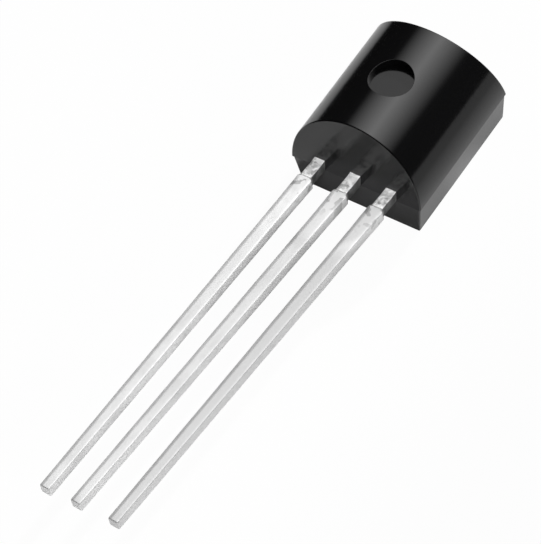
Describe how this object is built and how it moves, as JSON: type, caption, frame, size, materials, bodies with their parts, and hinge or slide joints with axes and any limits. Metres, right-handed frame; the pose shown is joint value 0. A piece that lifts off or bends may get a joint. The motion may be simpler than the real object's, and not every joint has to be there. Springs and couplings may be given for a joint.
{
  "type": "temperature sensor",
  "caption": "Small temperature sensor: black moulded D-shaped body with a round back and a flat side, and a row of flat tinned leads from one end.",
  "frame": {"origin": "centre of the flat side", "axes": "+X along the row of leads, from the left lead to the right one; +Y up the body, away from the leads; +Z from the flat side to the round back"},
  "size_m": [0.0046, 0.0186, 0.0035],
  "materials": {
    "moulded_epoxy": "semi-gloss black moulding compound",
    "tinned_lead": "bright tin plate with fine drawn lines",
    "die_adhesive": "silver-filled epoxy",
    "silicon": "polished",
    "gold_wire": "drawn gold"
  },
  "bodies": {
    "root": {"package_body": "moulded_epoxy", "lead_left": "tinned_lead", "lead_middle": "tinned_lead", "lead_right": "tinned_lead", "die_attach": "die_adhesive", "sensor_die": "silicon", "bond_wire_left": "gold_wire", "bond_wire_middle": "gold_wire", "bond_wire_right": "gold_wire"}
  },
  "joints": []
}
